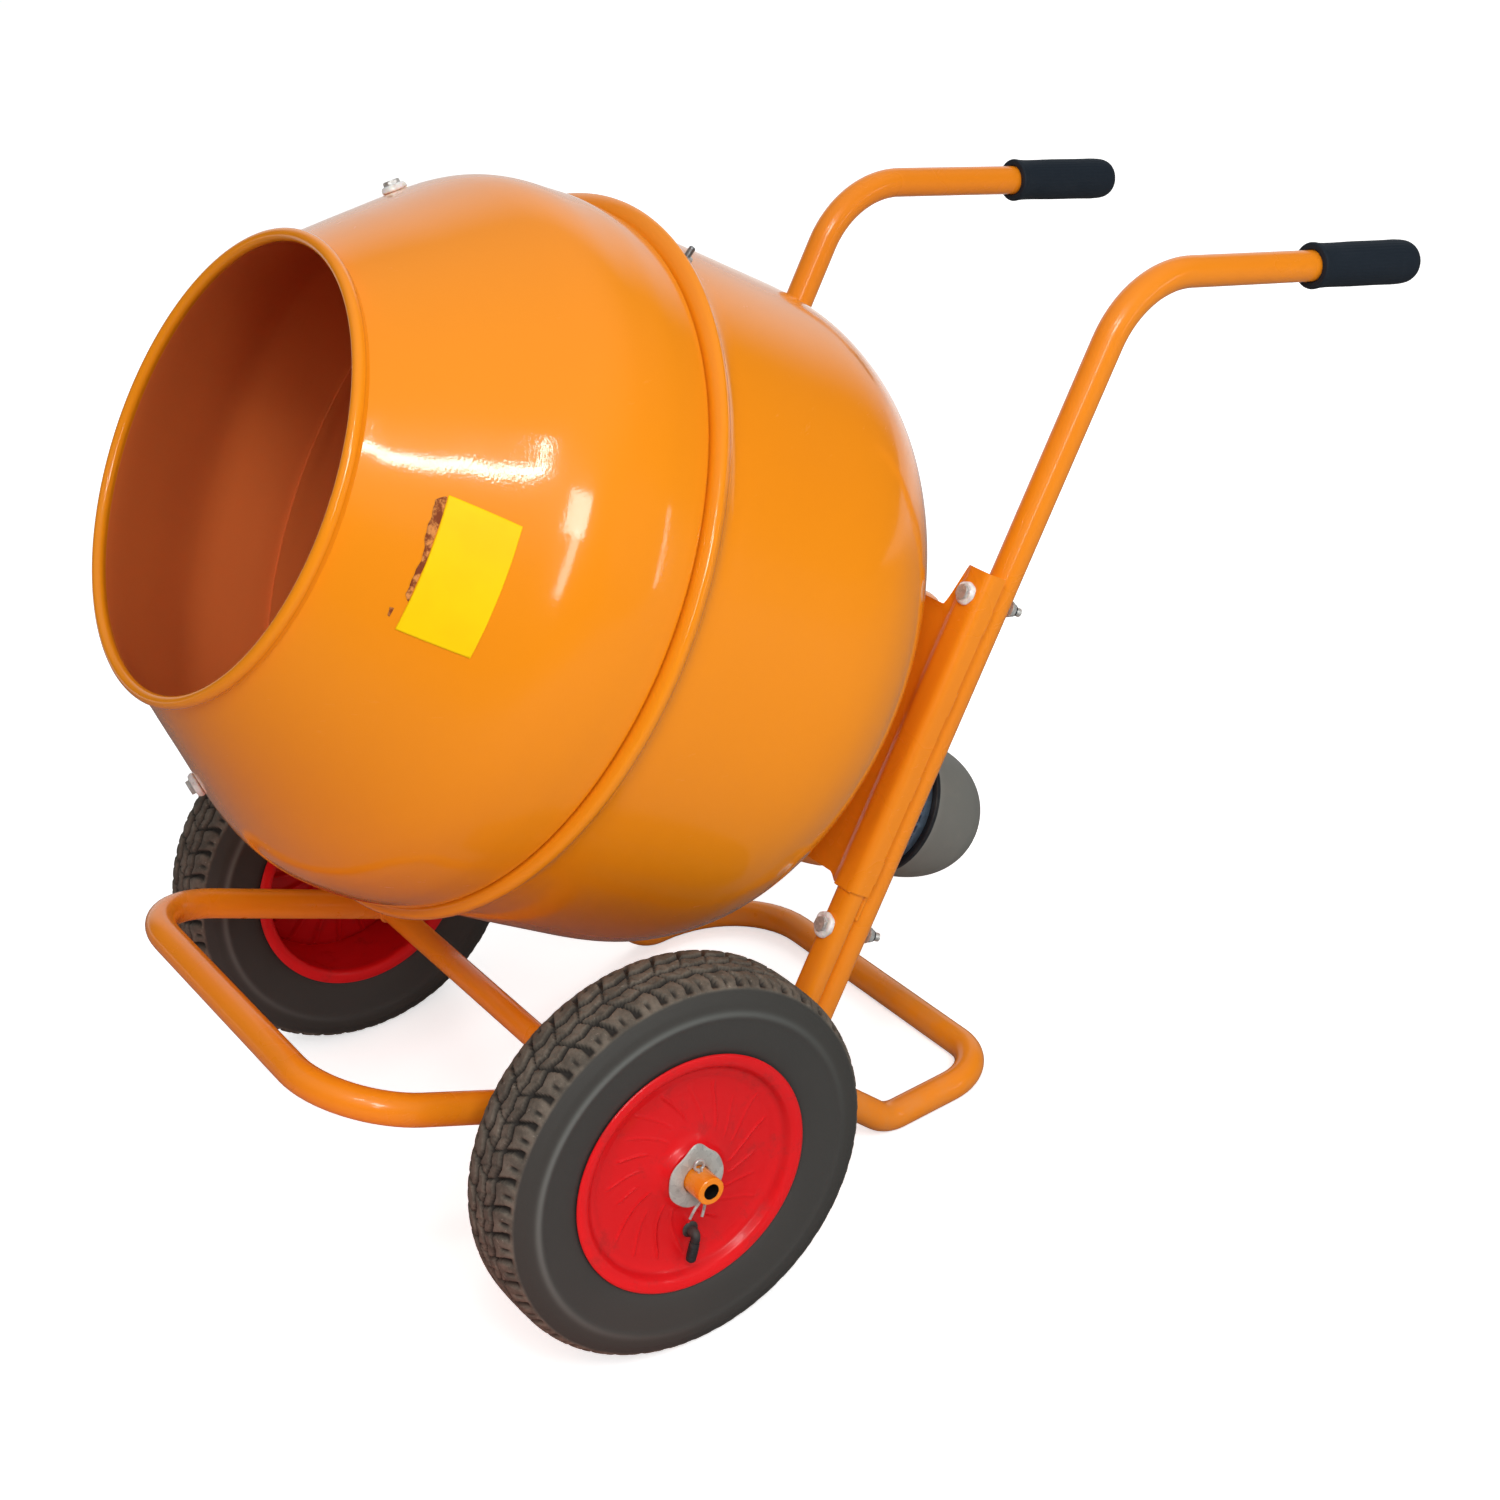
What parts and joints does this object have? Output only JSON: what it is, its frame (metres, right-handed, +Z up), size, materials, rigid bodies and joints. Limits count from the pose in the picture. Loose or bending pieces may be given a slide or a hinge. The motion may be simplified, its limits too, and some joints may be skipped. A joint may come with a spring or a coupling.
{
  "type": "electric barrow concrete mixer",
  "caption": "Wheeled electric concrete mixer: tilted steel drum on a tube barrow frame with two pneumatic wheels, push handles and a motor behind the drum.",
  "frame": {"origin": "on the ground, under the middle of the rear cross bar, at the centre of the flat it rests on", "axes": "+Z up; -Y forward, towards the drum mouth and the tipping toe; +Y back, towards the push handles; X along the axle"},
  "size_m": [0.736, 1.1952, 0.8972],
  "materials": {
    "orange_paint": "gloss paint on sheet steel and tube",
    "grip_rubber": "moulded rubber, matt",
    "tyre_rubber": "tyre rubber with dusty tread",
    "valve_rubber": "rubber valve stem",
    "red_rim": "moulded wheel rim, red",
    "bronze": "plain bearing bush",
    "zinc_steel": "zinc plated fasteners",
    "bright_steel": "turned steel",
    "cast_iron": "rough casting",
    "blade_paint": "orange paint under dried mortar",
    "motor_paint": "blue-grey motor shell",
    "gasket_rubber": "rubber seal",
    "cap_plastic": "grey textured cap",
    "black_plastic": "moulded, matt",
    "green_plastic": "push button",
    "red_plastic": "push button"
  },
  "bodies": {
    "frame": {"axle_tube": "orange_paint", "bearing_housing": "cast_iron", "drive_channel": "orange_paint", "front_hoop": "orange_paint", "handle_grip_left": "grip_rubber", "handle_grip_right": "grip_rubber", "handle_tube_left": "orange_paint", "handle_tube_right": "orange_paint", "hub_washer_left": "zinc_steel", "hub_washer_right": "zinc_steel", "leg_bolt_lower_left": "zinc_steel", "leg_bolt_lower_right": "zinc_steel", "leg_bolt_upper_left": "zinc_steel", "leg_bolt_upper_right": "zinc_steel", "leg_nut_lower_left": "zinc_steel", "leg_nut_lower_right": "zinc_steel", "leg_nut_upper_left": "zinc_steel", "leg_nut_upper_right": "zinc_steel", "leg_tube_left": "orange_paint", "leg_tube_right": "orange_paint", "motor_body": "motor_paint", "motor_end_cap": "cap_plastic", "motor_gasket_ring": "gasket_rubber", "plug_inlet": "black_plastic", "rear_cover": "orange_paint", "rear_hoop": "orange_paint", "shaft_bearing_front": "bright_steel", "shaft_bearing_rear": "bright_steel", "split_pin_left": "zinc_steel", "split_pin_right": "zinc_steel", "switch_box": "black_plastic"},
    "wheel_right": {"hub_bush_right": "bronze", "tyre_right": "tyre_rubber", "valve_stem_right": "valve_rubber", "wheel_rim_right": "red_rim"},
    "wheel_left": {"hub_bush_left": "bronze", "tyre_left": "tyre_rubber", "valve_stem_left": "valve_rubber", "wheel_rim_left": "red_rim"},
    "drum": {"blade_bolt_a": "zinc_steel", "blade_bolt_b": "zinc_steel", "drive_gear": "cast_iron", "drum_front_shell": "orange_paint", "drum_hub_flange": "cast_iron", "drum_rear_bowl": "orange_paint", "drum_shaft": "bright_steel", "mixing_blade_a": "blade_paint", "mixing_blade_b": "blade_paint", "seam_bolt_bottom": "zinc_steel", "seam_bolt_top": "zinc_steel", "shaft_nut": "zinc_steel"},
    "rotor": {"motor_pinion": "bright_steel"},
    "start_button": {"switch_button_start": "green_plastic"},
    "stop_button": {"switch_button_stop": "red_plastic"}
  },
  "joints": [
    {"name": "wheel_right_spin", "type": "hinge", "parent": "frame", "child": "wheel_right", "pos_m": [0.303, -0.399, 0.172], "axis": [1, 0, 0], "continuous": true},
    {"name": "wheel_left_spin", "type": "hinge", "parent": "frame", "child": "wheel_left", "pos_m": [-0.303, -0.399, 0.172], "axis": [1, 0, 0], "continuous": true},
    {"name": "drum_spin", "type": "hinge", "parent": "frame", "child": "drum", "pos_m": [0, -0.333, 0.594], "axis": [0, -0.8192, 0.5736], "continuous": true},
    {"name": "pinion_spin", "type": "hinge", "parent": "frame", "child": "rotor", "pos_m": [0, -0.06434, 0.27159], "axis": [0, -0.8192, 0.5736], "continuous": true},
    {"name": "start_press", "type": "slide", "parent": "frame", "child": "start_button", "axis": [0, -0.8192, 0.5736], "range_m": [0, 0.0025]},
    {"name": "stop_press", "type": "slide", "parent": "frame", "child": "stop_button", "axis": [0, -0.8192, 0.5736], "range_m": [0, 0.0025]}
  ],
  "couplings": [
    {"joint": "pinion_spin", "follows": "drum_spin", "ratio": -4}
  ]
}
